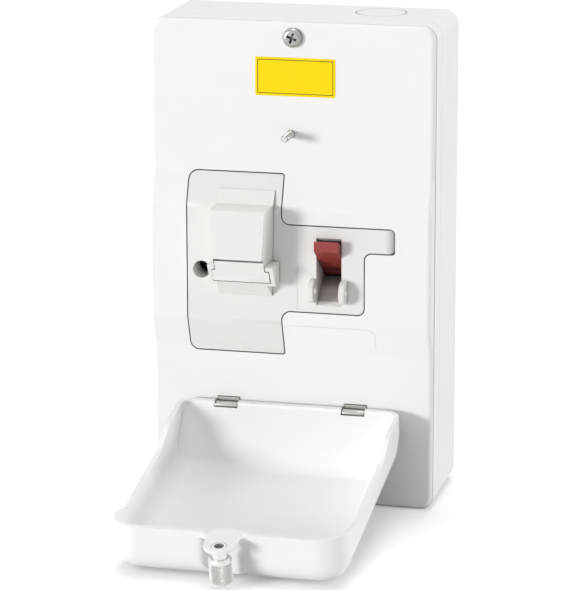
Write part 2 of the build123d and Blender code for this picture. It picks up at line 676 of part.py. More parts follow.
def fuse_carrier():
    block = carrier_block()

    # side pads beside the foot of the flap
    lean = flap_lean()
    pad_front = CARRIER_FORWARD - (FLAP_TOP_Z - PAD_TOP) * lean - PAD_SET_BACK
    pad_low = CHIN_FORWARD - (CHIN_Z - PAD_BOTTOM) * lean - PAD_SET_BACK
    pad = [(BAND_FORWARD, PAD_TOP), (pad_front, PAD_TOP), (pad_low, PAD_BOTTOM), (BAND_FORWARD, PAD_BOTTOM)]
    block += side(pad, CARRIER_LEFT - PAD_PROUD_LEFT, CARRIER_LEFT + PAD_PROUD)
    block += side(pad, CARRIER_RIGHT - PAD_PROUD, CARRIER_RIGHT + PAD_PROUD)
    block -= behind_front(CARRIER_LIFT)

    # plug inside the socket
    left, right = CARRIER_LEFT + PLUG_INSET, CARRIER_RIGHT - PLUG_INSET
    low, high = CARRIER_BOTTOM + PLUG_INSET, CARRIER_TOP - PLUG_INSET
    block += slab(left, right, PLUG_BACK, BAND_FORWARD, low, high) & behind_front(CARRIER_LIFT + 1) & side(
        carrier_profile(), left, right)

    # fuse room, open to the back
    wall = CARRIER_WALL
    room = [
        (PLUG_BACK, low + wall),
        (BAND_FORWARD, low + wall),
        (BAND_FORWARD, SHOULDER_Z - wall),
        (CARRIER_APEX - 2 * wall, high - wall),
        (PLUG_BACK, high - wall),
    ]
    block -= side(room, left + wall, right - wall)

    # ribs that hold the fuse's contacts
    reach = FUSE_R + CLIP_SLACK + CLIP_SKIN + CONTACT_GAP
    for end in (-1, 1):
        z = contact_z(end)
        tall = FUSE_CAP / 2 - CONTACT_GAP
        for x0, x1 in ((left + wall, CARRIER_X - reach), (CARRIER_X + reach, right - wall)):
            block += slab(x0, x1, FUSE_FORWARD - FUSE_R, CARRIER_APEX - 2 * wall, z - tall, z + tall)

    # place for the flap
    back = (FLAP_THICK + FLAP_BACK_GAP) * (1 + lean * lean) ** 0.5
    pocket = [
        (CARRIER_FORWARD + 1, FLAP_TOP_Z),
        (CARRIER_FORWARD - back, FLAP_TOP_Z),
        (CHIN_FORWARD - back, CHIN_Z),
        (CHIN_FORWARD, CHIN_Z),
    ]
    x0, x1, foot0, foot1 = flap_widths(FLAP_GAP)
    low_part = slab(foot0, foot1, DEPTH, CARRIER_FORWARD + 1, CHIN_Z, FLAP_STEP_Z + FLAP_GAP)
    pin_f, pin_z = flap_pin_at()
    block -= side(pocket, x0, x1)
    block -= side(pocket, foot0, foot1) & low_part
    block -= bar(pin_f, pin_z, FLAP_KNUCKLE_R + FLAP_KNUCKLE_GAP, foot0, foot1)
    block -= bar(pin_f, pin_z, FLAP_PIN_R, *pin_ends())
    return block


def pin_ends():
    return CARRIER_LEFT - PAD_PROUD_LEFT + FLAP_PIN_END, CARRIER_RIGHT + PAD_PROUD - FLAP_PIN_END


def carrier_flap():
    pin_f, pin_z = flap_pin_at()
    lean = flap_lean()
    thick = FLAP_THICK * (1 + lean * lean) ** 0.5
    top = FLAP_TOP_Z - FLAP_NICK
    top_f = CARRIER_FORWARD - FLAP_NICK * lean
    sheet = [(top_f, top), (CHIN_FORWARD, CHIN_Z), (CHIN_FORWARD - thick, CHIN_Z), (top_f - thick, top)]
    x0, x1, foot0, foot1 = flap_widths(0)
    foot = side(sheet, foot0, foot1) & slab(foot0, foot1, DEPTH, CARRIER_FORWARD, CHIN_Z, FLAP_STEP_Z)
    flap = side(sheet, x0, x1) + foot + bar(pin_f, pin_z, FLAP_KNUCKLE_R, foot0, foot1)
    return flap - bar(pin_f, pin_z, FLAP_PIN_R + FLAP_PIN_CLEARANCE, foot0, foot1)


def flap_pin():
    pin_f, pin_z = flap_pin_at()
    return bar(pin_f, pin_z, FLAP_PIN_R, *pin_ends())


def upright(radius, z0, z1):
    """A round bar on the fuse's axis."""
    return extrude(Pos(CARRIER_X, -FUSE_FORWARD, z0) * Circle(radius), amount=z1 - z0)


def contact_z(end):
    """Height of the fuse cap's middle, where the contact grips it."""
    return FUSE_Z + end * (FUSE_LENGTH - FUSE_CAP) / 2


def fuse_barrel():
    half = FUSE_LENGTH / 2 - 1
    return upright(FUSE_BARREL_R, FUSE_Z - half, FUSE_Z + half)


def fuse_cap(end):
    tip = FUSE_Z + end * FUSE_LENGTH / 2
    root = tip - end * FUSE_CAP
    floor = tip - end
    low, high = sorted((tip, root))
    cap = upright(FUSE_R, low, high)
    outer_face = cap.faces().sort_by(Axis.Z)[-1 if end > 0 else 0]
    cap = fillet(outer_face.edges(), CAP_ROUND)
    low, high = sorted((root, floor))
    return cap - upright(FUSE_BARREL_R, low, high)


def carrier_contact(end):
    """Spring clip on a fuse cap with the blade that plugs into the base."""
    z = contact_z(end)
    half = BLADE_WIDE / 2
    clip_half = FUSE_CAP / 2 - CONTACT_GAP
    clip = upright(FUSE_R + CLIP_SLACK + CLIP_SKIN, z - clip_half, z + clip_half)
    back = FUSE_FORWARD - FUSE_R - CLIP_SKIN
    left, right = CARRIER_X - half, CARRIER_X + half
    clip += slab(left, right, back - BLADE_THICK, back + 1, z - clip_half, z + clip_half)
    clip += slab(left, right, BLADE_TIP, back, z - BLADE_THICK / 2, z + BLADE_THICK / 2)
    clip -= upright(FUSE_R + CLIP_SLACK, z - FUSE_CAP, z + FUSE_CAP)
    mouth = FUSE_FORWARD + FUSE_R * 0.5
    return clip - slab(CARRIER_LEFT, CARRIER_RIGHT, mouth, BAND_FORWARD, z - FUSE_CAP, z + FUSE_CAP)


def fuse_jaw(end):
    """Jaw on the base that takes a blade of the carrier."""
    z = contact_z(end)
    half = BLADE_WIDE / 2 + 1
    inner = BLADE_THICK / 2 + JAW_GAP
    outer = inner + JAW_SKIN
    jaw = slab(CARRIER_X - half, CARRIER_X + half, MECH_BACK, MECH_BACK + JAW_DEEP, z - outer, z + outer)
    return jaw - slab(CARRIER_LEFT, CARRIER_RIGHT, MECH_BACK + JAW_SKIN, DEPTH, z - inner, z + inner)


def about_pivot(shape):
    """Turn a shape drawn level and at the origin to the dolly's rest position."""
    return Pos(0, -PIVOT_FORWARD, PIVOT_Z) * Rot(-DOLLY_THROW, 0, 0) * shape


def switch_dolly():
    slant = 2 * DOLLY_TIP_HALF * tan(radians(DOLLY_THROW))
    lever = [
        (0, DOLLY_ROOT_HALF),
        (DOLLY_REACH, DOLLY_TIP_HALF),
        (DOLLY_REACH - slant, -DOLLY_TIP_HALF),
        (0, -DOLLY_ROOT_HALF),
    ]
    x0, x1 = SLOT_LEFT + DOLLY_SIDE_GAP, SLOT_RIGHT - DOLLY_SIDE_GAP
    dolly = side(lever, x0, x1)
    tip = dolly.edges().filter_by(Axis.X).sort_by(Axis.Y)[:2]
    dolly = fillet(tip, 0.6)
    dolly += bar(0, 0, DOLLY_HUB_R, x0, x1)
    dolly -= bar(0, 0, SHAFT_R, x0, x1)
    return about_pivot(dolly)


def dolly_shaft():
    return about_pivot(bar(0, 0, SHAFT_R, SHAFT_LEFT, SHAFT_RIGHT))


def rotor_blade(x):
    """Double-break blade, upright at rest, between the jaws above and below the shaft."""
    x0, x1 = x - ROTOR_THICK / 2, x + ROTOR_THICK / 2
    blade = slab(x0, x1, -ROTOR_WIDE / 2, ROTOR_WIDE / 2, -ROTOR_HALF, ROTOR_HALF)
    blade += bar(0, 0, ROTOR_HUB_R, x0, x1)
    blade -= bar(0, 0, SHAFT_R, x0, x1)
    return Pos(0, -PIVOT_FORWARD, PIVOT_Z) * blade


def switch_jaw(x, end):
    """Fixed jaw that the end of a rotor blade swings into, with its strap down to the base."""
    inner = ROTOR_THICK / 2 + JAW_GAP
    outer = inner + JAW_SKIN
    near = PIVOT_Z + end * (ROTOR_HALF - SWITCH_JAW_GRIP)
    web = PIVOT_Z + end * (ROTOR_HALF + 1)
    far = web + end * JAW_SKIN
    half = ROTOR_WIDE / 2
    low, high = sorted((near, far))
    jaw = slab(x - outer, x + outer, PIVOT_FORWARD - half, PIVOT_FORWARD + half, low, high)
    low, high = sorted((near - end, web))
    jaw -= slab(x - inner, x + inner, 0, DEPTH, low, high)
    low, high = sorted((web, far))
    return jaw + slab(x - outer, x + outer, MECH_BACK, PIVOT_FORWARD, low, high)


def terminal(x, end):
    """Brass block on the base with a bore for the cable and a tapped hole for its screw."""
    z = end * TERMINAL_Z
    half = TERMINAL_WIDE / 2
    tall = TERMINAL_TALL / 2
    block = slab(x - half, x + half, MECH_BACK, MECH_BACK + TERMINAL_DEEP, z - tall, z + tall)
    block = chamfer(block.edges().filter_by(Axis.Z), 0.6)
    mouth = Pos(x, -MECH_BACK - TERMINAL_DEEP * 0.4, z - tall) * Circle(TERMINAL_BORE_R)
    bore = extrude(mouth, amount=TERMINAL_TALL)
    return block - bore - peg(x, z, TERMINAL_SCREW_R, MECH_BACK + TERMINAL_DEEP / 2, DEPTH)


def terminal_screw(x, end):
    z = end * TERMINAL_Z
    top = MECH_BACK + TERMINAL_DEEP + 1.5
    screw = peg(x, z, TERMINAL_SCREW_R - SHAFT_CLEARANCE, MECH_BACK + TERMINAL_DEEP * 0.55, top)
    return screw - slab(x - TERMINAL_SCREW_R, x + TERMINAL_SCREW_R, top - 1, DEPTH, z - 0.4, z + 0.4)


def strap(x0, x1, z0, z1):
    """Flat copper strip lying on the base."""
    return slab(x0, x1, MECH_BACK, MECH_BACK + LINK_THICK, z0, z1)


def link(x, end):
    """Strip from a terminal to the switch jaw in line with it."""
    jaw = PIVOT_Z + end * (ROTOR_HALF + 1 + JAW_SKIN)
    block = end * (TERMINAL_Z - TERMINAL_TALL / 2)
    low, high = sorted((jaw, block))
    return strap(x - LINK_WIDE / 2, x + LINK_WIDE / 2, low, high)


def fuse_link(end):
    """Strip from a fuse jaw sideways, then to its terminal or switch jaw."""
    z = contact_z(end)
    edge = z + end * (BLADE_THICK / 2 + JAW_GAP + JAW_SKIN)
    low, high = sorted((edge, end * (TERMINAL_Z - TERMINAL_TALL / 2)))
    return strap(CARRIER_X - LINK_WIDE / 2, CARRIER_X + LINK_WIDE / 2, low, high)


def cross_link_heights():
    """Lower and upper edge of the strip that runs across below the switch."""
    high = PIVOT_Z - ROTOR_HALF - 1 - JAW_SKIN
    return high - LINK_WIDE, high


def cross_link():
    """Strip from the fuse's lower jaw, down and across to the switched line's lower jaw."""
    low, high = cross_link_heights()
    half = LINK_WIDE / 2
    jaw = contact_z(-1) - BLADE_THICK / 2 - JAW_GAP - JAW_SKIN
    across = strap(CARRIER_X - half, ROTOR_LINE_X + half, low, high)
    return across + strap(CARRIER_X - half, CARRIER_X + half, low, jaw)


def earth_terminal():
    half = EARTH_WIDE / 2
    start = WALL + FIX_PAD
    low, high = EARTH_Z - EARTH_TALL / 2, EARTH_Z + EARTH_TALL / 2
    body = slab(EARTH_X - half, EARTH_X + half, start, start + EARTH_DEEP, low, high)
    for z in (EARTH_Z - EARTH_PITCH / 2, EARTH_Z + EARTH_PITCH / 2):
        body -= bar(start + EARTH_DEEP * 0.4, z, TERMINAL_BORE_R - 0.6, EARTH_X - half, EARTH_X + half)
        body -= peg(EARTH_X, z, TERMINAL_SCREW_R, start + EARTH_DEEP / 2, DEPTH)
    return body


def earth_screw(end):
    z = EARTH_Z + end * EARTH_PITCH / 2
    start = WALL + FIX_PAD
    top = start + EARTH_DEEP + 1.5
    screw = peg(EARTH_X, z, TERMINAL_SCREW_R - SHAFT_CLEARANCE, start + EARTH_DEEP * 0.6, top)
    left, right = EARTH_X - TERMINAL_SCREW_R, EARTH_X + TERMINAL_SCREW_R
    return screw - slab(left, right, top - 1, DEPTH, z - 0.4, z + 0.4)


def door_point(long, out):
    """Forward and up position of a point on the closed door."""
    return RIM_FORWARD + out, HINGE_Z + long


def door_form(inset):
    """The door's dished form, closed; with an inset it is the room inside the walls."""
    crown = DOOR_DEEP - inset
    half = DOOR_HALF - inset
    end = DOOR_LONG - inset
    rise = (DOOR_SLOPE_END - DOOR_SLOPE_FOOT) / (DOOR_DEEP - DOOR_SLOPE_START)
    if inset:
        shift = inset * (1 + rise * rise) ** 0.5
        foot = DOOR_SLOPE_START + (DOOR_RIM - DOOR_SLOPE_FOOT - shift) / rise
        line = [(-2 * BAND_RISE, DOOR_RIM), (foot, DOOR_RIM), (crown, DOOR_SLOPE_END + shift - inset * rise)]
        line += [(crown, end + 1), (-2 * BAND_RISE, end + 1)]
        start = DOOR_RIM
    else:
        line = [(0, DOOR_SLOPE_FOOT), (DOOR_SLOPE_START, DOOR_SLOPE_FOOT), (crown, DOOR_SLOPE_END)]
        line += [(crown, end + 1), (0, end + 1)]
        start = 0
    points = [door_point(s, n) for n, s in line]
    form = side(points, -half - 1, half + 1)
    bend_f, bend_z = points[-3]
    bend = form.edges().filter_by(Axis.X).sort_by_distance((0, -bend_f, bend_z))[0]
    form = fillet(bend, DOOR_SOFT)

    near_r = DOOR_NEAR_CORNER - inset
    far_r = DOOR_CORNER - inset
    plan = rounded([
        (-half, HINGE_Z + start, near_r),
        (half, HINGE_Z + start, near_r),
        (half, HINGE_Z + end, far_r),
        (-half, HINGE_Z + end, far_r),
    ])
    block = front(plan, RIM_FORWARD - 2 * BAND_RISE, RIM_FORWARD + crown)
    top_edges = block.faces().sort_by(Axis.Y)[0].edges()
    far_top = [e for e in top_edges if e.position_at(0.5).Z > HINGE_Z + BEAD_R + 1]
    block = fillet(far_top, DOOR_CROWN - inset)
    return block & form


def lug_plate():
    """The lug's outline: a round end that widens to the wall behind it."""
    wall = HINGE_Z + DOOR_LONG
    reach = DOOR_LUG_R + LUG_FLARE
    tongue = Pos(0, STUD_Z - DOOR_LUG_BACK) * Circle(DOOR_LUG_R)
    root = make_face(Polyline([
        (-reach, wall - DOOR_WALL),
        (reach, wall - DOOR_WALL),
        (reach, wall),
        (DOOR_LUG_R, wall),
        (DOOR_LUG_R, STUD_Z - DOOR_LUG_BACK),
        (-DOOR_LUG_R, STUD_Z - DOOR_LUG_BACK),
        (-DOOR_LUG_R, wall),
        (-reach, wall),
    ], close=True))
    for x in (-DOOR_LUG_R, DOOR_LUG_R):
        root = fillet(root.vertices().sort_by_distance((x, wall, 0))[0], LUG_FLARE)
    return tongue + root


def scoop(skin):
    """The shallow scoop in the far wall, from the front, running out softly into the wall."""
    wall = HINGE_Z + DOOR_LONG - skin
    circle = Pos(0, HINGE_Z + DOOR_LONG + SCOOP_R - SCOOP_DEEP) * Circle(SCOOP_R + skin)
    half = (2 * SCOOP_R * SCOOP_DEEP - SCOOP_DEEP ** 2) ** 0.5
    shape = Pos(0, wall + SCOOP_R) * Rectangle(4 * SCOOP_R, 2 * SCOOP_R) + circle
    for x in (-half, half):
        shape = fillet(shape.vertices().sort_by_distance((x, wall, 0))[0], SCOOP_SOFT)
    return shape


def door_closed():
    whole = door_form(0)
    axis_f = AXIS_FORWARD
    body = whole + bar(axis_f, HINGE_Z, BEAD_R, -DOOR_HALF + DOOR_NEAR_CORNER, DOOR_HALF - DOOR_NEAR_CORNER)
    body -= door_form(DOOR_WALL)

    # scoop in the far wall behind the nut, and the lug that carries it
    lug_start = RIM_FORWARD + LUG_TOP
    lug_stop = lug_start + LUG_THICK
    wall = HINGE_Z + DOOR_LONG
    body += front(scoop(DOOR_WALL), lug_start, RIM_FORWARD + DOOR_DEEP) & whole
    body -= front(scoop(0), lug_stop, RIM_FORWARD + DOOR_DEEP + 1)
    notch = make_face(Polyline([
        (-NOTCH_HALF - NOTCH_SLOPE, -RIM_FORWARD),
        (-NOTCH_HALF, -lug_start),
        (NOTCH_HALF, -lug_start),
        (NOTCH_HALF + NOTCH_SLOPE, -RIM_FORWARD),
    ], close=True))
    body -= extrude(Pos(0, 0, wall - SCOOP_DEEP - 2 * DOOR_WALL) * notch, amount=HEIGHT)
    body += front(lug_plate(), lug_start, lug_stop)
    body -= peg(0, STUD_Z, SPIGOT_R + SPIGOT_CLEARANCE, RIM_FORWARD, lug_stop + 1)
    body -= peg(0, STUD_Z, FLARE_RECESS_R, RIM_FORWARD, lug_start + FLARE_THICK + 2 * SPIGOT_CLEARANCE)

    # rim follows the raised band
    body -= behind_front(DOOR_GAP)

    # gaps in the bead for the clips, and bores for the pins
    for x in (-CLIP_X, CLIP_X):
        half = CLIP_WIDE / 2 + CLIP_SIDE_GAP
        reach = BEAD_R + LIP_GAP
        body -= slab(x - half, x + half, axis_f - reach, axis_f + reach, HINGE_Z - reach, HINGE_Z + reach)
        body -= bar(axis_f, HINGE_Z, PIN_R, x - PIN_HALF, x + PIN_HALF)
    return body


def opened(shape):
    """Turn a piece of the closed door to the rest position, hanging open."""
    axis = Pos(0, -AXIS_FORWARD, HINGE_Z)
    return axis * Rot(OPEN_ANGLE, 0, 0) * axis.inverse() * shape


def hinge_clip(x):
    """Strap through the cover that curls round the hinge pin."""
    x0, x1 = x - CLIP_WIDE / 2, x + CLIP_WIDE / 2
    inner = PIN_R + PIN_CLEARANCE
    outer = inner + CLIP_THICK
    top = HINGE_Z + CLIP_TAB
    back = AXIS_FORWARD - inner
    tail = DEPTH - WALL - CLIP_THICK
    strap_side = [
        (tail, top),
        (DEPTH + CLIP_THICK, top),
        (DEPTH + CLIP_THICK, HINGE_Z + inner),
        (back, HINGE_Z),
        (back, HINGE_Z - inner),
        (back - CLIP_THICK, HINGE_Z - inner),
        (DEPTH, HINGE_Z + inner),
        (DEPTH, top - CLIP_THICK),
        (tail, top - CLIP_THICK),
    ]
    clip = side(strap_side, x0, x1) + bar(AXIS_FORWARD, HINGE_Z, outer, x0, x1)
    clip += slab(x0, x1, tail, tail + CLIP_THICK, top - CLIP_THICK, top + CLIP_TAIL)
    return clip - bar(AXIS_FORWARD, HINGE_Z, inner, x0, x1)


def hinge_pin(x):
    return bar(AXIS_FORWARD, HINGE_Z, PIN_R, x - PIN_HALF, x + PIN_HALF)


def thumb_nut_closed():
    """Knurled barrel with a neck; its thin spigot passes through the lug and is spun over behind it."""
    start = RIM_FORWARD + LUG_TOP + SPIGOT_CLEARANCE
    neck = RIM_FORWARD + LUG_TOP + LUG_THICK + SPIGOT_CLEARANCE
    shoulder = RIM_FORWARD + NUT_SHOULDER
    thread = RIM_FORWARD + NUT_THREAD_START
    nut = peg(0, STUD_Z, NUT_R, shoulder, RIM_FORWARD + NUT_END)
    rims = nut.edges().filter_by(GeomType.CIRCLE).sort_by(Axis.Y)
    nut = fillet(rims[0], NUT_END_ROUND)
    nut = chamfer(nut.edges().filter_by(GeomType.CIRCLE).sort_by(Axis.Y)[-1], NUT_BEVEL)
    nut += peg(0, STUD_Z, NECK_R, neck, shoulder)
    nut += peg(0, STUD_Z, SPIGOT_R, start, neck)
    nut += peg(0, STUD_Z, FLARE_R, start, start + FLARE_THICK)
    nut -= peg(0, STUD_Z, NUT_LEAD_R, start, thread)
    return nut - peg(0, STUD_Z, NUT_THREAD_R, thread, thread + NUT_THREAD)


def label(shape):
    """A thin label that follows the cover's front surface."""
    return front(shape, DEPTH - WALL, BAND_FORWARD + WALL) & (behind_front(LABEL_SKIN) - behind_front())


def parts():
    made = {
        "back_box": back_box(),
        "front_cover": front_cover(),
        "cover_screw_top": cover_screw(SCREW_Z),
        "cover_screw_bottom": cover_screw(-SCREW_Z),
        "door_stud": door_stud(),
        "stud_lock_nut": stud_lock_nut(),
        "mechanism_front": mechanism_front(),
        "mechanism_base": mechanism_base(),
        "fuse_socket": fuse_socket(),
        "switch_housing": switch_housing(),
        "pillars": pillars(),
        "pillar_screws": pillar_screws(),
        "fuse_carrier": fuse_carrier(),
        "carrier_flap": carrier_flap(),
        "flap_pin": flap_pin(),
        "fuse_barrel": fuse_barrel(),
        "fuse_cap_top": fuse_cap(1),
        "fuse_cap_bottom": fuse_cap(-1),
        "carrier_contact_top": carrier_contact(1),
        "carrier_contact_bottom": carrier_contact(-1),
        "fuse_jaw_top": fuse_jaw(1),
        "fuse_jaw_bottom": fuse_jaw(-1),
        "switch_dolly": switch_dolly(),
        "dolly_shaft": dolly_shaft(),
        "rotor_blade_line": rotor_blade(ROTOR_LINE_X),
        "rotor_blade_neutral": rotor_blade(ROTOR_NEUTRAL_X),
        "switch_jaw_line_top": switch_jaw(ROTOR_LINE_X, 1),
        "switch_jaw_line_bottom": switch_jaw(ROTOR_LINE_X, -1),
        "switch_jaw_neutral_top": switch_jaw(ROTOR_NEUTRAL_X, 1),
        "switch_jaw_neutral_bottom": switch_jaw(ROTOR_NEUTRAL_X, -1),
        "link_line_top": link(ROTOR_LINE_X, 1),
        "link_neutral_top": link(ROTOR_NEUTRAL_X, 1),
        "link_neutral_bottom": link(ROTOR_NEUTRAL_X, -1),
        "link_fuse_top": fuse_link(1),
        "link_switch_to_fuse": cross_link(),
        "earth_terminal": earth_terminal(),
        "door": opened(door_closed()),
        "thumb_nut": opened(thumb_nut_closed()),
        "hinge_clip_left": hinge_clip(-CLIP_X),
        "hinge_clip_right": hinge_clip(CLIP_X),
        "hinge_pin_left": hinge_pin(-CLIP_X),
        "hinge_pin_right": hinge_pin(CLIP_X),
        "label_yellow": label(window(YELLOW_LEFT, YELLOW_RIGHT, YELLOW_TOP - YELLOW_TALL, YELLOW_TOP, 0.8)),
        "label_white": label(window(WHITE_LEFT, WHITE_RIGHT, WHITE_BOTTOM, WHITE_TOP, WHITE_ROUND)),
    }
    for name, x, end in (
        ("line_in", ROTOR_LINE_X, 1),
        ("neutral_in", ROTOR_NEUTRAL_X, 1),
        ("neutral_out", ROTOR_NEUTRAL_X, -1),
        ("line_out", CARRIER_X, 1),
    ):
        made["terminal_" + name] = terminal(x, end)
        made["terminal_screw_" + name] = terminal_screw(x, end)
    for number, (x, z) in enumerate(base_posts(), 1):
        made["base_screw_%d" % number] = base_screw(x, z)
    for number, end in ((1, 1), (2, -1)):
        made["earth_screw_%d" % number] = earth_screw(end)
    return made


os.makedirs("parts", exist_ok=True)
for name, shape in parts().items():
    export_step(shape, os.path.join("parts", name + ".step"))
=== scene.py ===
# Looks of the switch fuse unit: materials, small details, floor, light and camera.

import json
import math

import bpy
from mathutils import Matrix, Vector


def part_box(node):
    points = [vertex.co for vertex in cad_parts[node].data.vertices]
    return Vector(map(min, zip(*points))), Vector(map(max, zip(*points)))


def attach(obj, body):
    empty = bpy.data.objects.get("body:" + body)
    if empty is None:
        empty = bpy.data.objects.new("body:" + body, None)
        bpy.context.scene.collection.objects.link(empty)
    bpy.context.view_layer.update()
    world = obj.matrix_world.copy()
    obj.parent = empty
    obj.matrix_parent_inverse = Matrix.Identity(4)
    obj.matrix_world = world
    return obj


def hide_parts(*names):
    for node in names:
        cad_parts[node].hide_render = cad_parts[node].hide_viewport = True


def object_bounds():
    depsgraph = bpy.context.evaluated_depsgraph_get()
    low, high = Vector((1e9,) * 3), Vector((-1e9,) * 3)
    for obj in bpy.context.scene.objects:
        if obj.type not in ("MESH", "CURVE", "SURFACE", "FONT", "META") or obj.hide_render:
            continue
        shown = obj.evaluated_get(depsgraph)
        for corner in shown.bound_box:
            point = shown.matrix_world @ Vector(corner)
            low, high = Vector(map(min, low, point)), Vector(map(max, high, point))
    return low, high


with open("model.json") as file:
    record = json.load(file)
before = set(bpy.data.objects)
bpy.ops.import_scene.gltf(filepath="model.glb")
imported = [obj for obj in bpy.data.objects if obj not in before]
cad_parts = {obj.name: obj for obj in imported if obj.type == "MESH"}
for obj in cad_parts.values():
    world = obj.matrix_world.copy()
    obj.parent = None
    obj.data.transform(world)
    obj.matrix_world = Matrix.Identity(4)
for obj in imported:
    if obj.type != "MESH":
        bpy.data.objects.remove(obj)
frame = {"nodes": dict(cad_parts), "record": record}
nodes = frame["nodes"]
record = frame["record"]
cad_box = [list(corner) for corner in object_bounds()]
MM = 0.001


# Materials
NOISE_DETAIL = 4.0
GLOSS_PATCHES = 70.0        # scale of the noise that makes the gloss uneven
PLATE_ROUGH, PLATE_SHINE = 0.5, 0.15


def new_material(name):
    mat = bpy.data.materials.new(name)
    mat.use_nodes = True
    tree = mat.node_tree
    return mat, tree, tree.nodes["Principled BSDF"]


def noise(tree, scale):
    """Noise over the object's own coordinates."""
    coords = tree.nodes.new("ShaderNodeTexCoord")
    node = tree.nodes.new("ShaderNodeTexNoise")
    node.inputs["Scale"].default_value = scale
    node.inputs["Detail"].default_value = NOISE_DETAIL
    tree.links.new(coords.outputs["Object"], node.inputs["Vector"])
    return node.outputs["Fac"]


def remap(tree, source, from_low, from_high, to_low, to_high):
    """The source, stretched from one range to another and held within it."""
    node = tree.nodes.new("ShaderNodeMapRange")
    ends = {"From Min": from_low, "From Max": from_high, "To Min": to_low, "To Max": to_high}
    for name, value in ends.items():
        node.inputs[name].default_value = value
    tree.links.new(source, node.inputs["Value"])
    return node.outputs["Result"]


def colour_mix(tree, factor, low, high, blend="MIX"):
    """Mix of two colours, each given as a value or as a socket."""
    node = tree.nodes.new("ShaderNodeMix")
    node.data_type = "RGBA"
    node.blend_type = blend
    for name, value in (("Factor", factor), ("A", low), ("B", high)):
        socket = next(s for s in node.inputs if s.name == name and s.enabled)
        if isinstance(value, bpy.types.NodeSocket):
            tree.links.new(value, socket)
        elif name == "Factor":
            socket.default_value = value
        else:
            socket.default_value = [min(1, c) for c in value] + [1]
    return next(s for s in node.outputs if s.enabled)


def clouded(tree, colour, amount, scale):
    """The colour with a faint lighter and darker cloud in it."""
    low = [c * (1 - amount) for c in colour]
    high = [c * (1 + amount) for c in colour]
    return colour_mix(tree, noise(tree, scale), low, high)


def painted_crevice_shade(tree, colour, reach, shade, openness=(0.15, 0.75)):
    """The colour with painted shade: darkened by ambient occlusion in gaps and tight corners, and under
    pieces where the reach is long.
    """
    # Painted shade: the ambient occlusion darkens the colour itself where other surfaces come close.
    near = tree.nodes.new("ShaderNodeAmbientOcclusion")
    near.samples = 8
    near.inputs["Distance"].default_value = reach
    open_air = remap(tree, near.outputs["AO"], *openness, 0, 1)
    return colour_mix(tree, 1.0, colour, colour_mix(tree, open_air, shade, (1, 1, 1)), "MULTIPLY")


def grain(tree, bsdf, scale, distance, strength):
    """Fine bump."""
    bump = tree.nodes.new("ShaderNodeBump")
    bump.inputs["Distance"].default_value = distance
    bump.inputs["Strength"].default_value = strength
    tree.links.new(noise(tree, scale), bump.inputs["Height"])
    tree.links.new(bump.outputs["Normal"], bsdf.inputs["Normal"])


def finish(name, colour, rough, cloud, bump, reach=1.6 * MM, shade=(0.22, 0.21, 0.19), metallic=0.0,
           grooves=None, **more):
    """A material with faint clouds, fine grain, uneven gloss, painted shade in crevices and painted shade in
    cut grooves.
    """
    mat, tree, bsdf = new_material(name)
    amount, cloud_scale = cloud
    base = clouded(tree, colour, amount, cloud_scale)
    # Painted shade in thread and knurl grooves: the colour darkens with the depth of the cut.
    if grooves:
        cut = tree.nodes.new("ShaderNodeAttribute")
        cut.attribute_name = "groove"
        base = colour_mix(tree, cut.outputs["Fac"], base, grooves)
    # Painted crevice shade laid over the base colour.
    tree.links.new(painted_crevice_shade(tree, base, reach, shade, **more), bsdf.inputs["Base Color"])
    grain(tree, bsdf, *bump)
    gloss = remap(tree, noise(tree, GLOSS_PATCHES), 0.3, 0.7, rough - 0.05, rough + 0.06)
    tree.links.new(gloss, bsdf.inputs["Roughness"])
    bsdf.inputs["Metallic"].default_value = metallic
    return mat


def plastic(name, colour, rough, **more):
    return finish(name, colour, rough, (0.012, 35.0), (900.0, 0.04 * MM, 0.3), **more)


def metal(name, colour, rough, **more):
    more.setdefault("shade", (0.35, 0.34, 0.32))
    return finish(name, colour, rough, (0.05, 120.0), (700.0, 0.03 * MM, 0.3), metallic=1.0, **more)


def bordered(name, node, colour, border, inset, wide):
    """A printed plate with a thin border set in from its edge."""
    mat, tree, bsdf = new_material(name)
    low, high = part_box(node)
    coords = tree.nodes.new("ShaderNodeTexCoord")
    parts = tree.nodes.new("ShaderNodeSeparateXYZ")
    tree.links.new(coords.outputs["Object"], parts.inputs["Vector"])

    def maths(operation, a, b=0.0):
        step = tree.nodes.new("ShaderNodeMath")
        step.operation = operation
        for socket, value in zip(step.inputs, (a, b)):
            if isinstance(value, bpy.types.NodeSocket):
                tree.links.new(value, socket)
            else:
                socket.default_value = value
        return step.outputs["Value"]

    sides = []
    for axis, place in (("X", 0), ("Z", 2)):
        middle, half = (low[place] + high[place]) / 2, (high[place] - low[place]) / 2
        from_middle = maths("ABSOLUTE", maths("SUBTRACT", parts.outputs[axis], middle))
        sides.append(maths("SUBTRACT", half, from_middle))
    edge = maths("MINIMUM", *sides)
    line = maths("MULTIPLY", maths("GREATER_THAN", edge, inset), maths("LESS_THAN", edge, inset + wide))
    base = colour_mix(tree, line, clouded(tree, colour, 0.015, 60.0), border)
    tree.links.new(base, bsdf.inputs["Base Color"])
    bsdf.inputs["Roughness"].default_value = PLATE_ROUGH
    bsdf.inputs["Specular IOR Level"].default_value = PLATE_SHINE
    grain(tree, bsdf, 1200.0, 0.02 * MM, 0.2)
    return mat


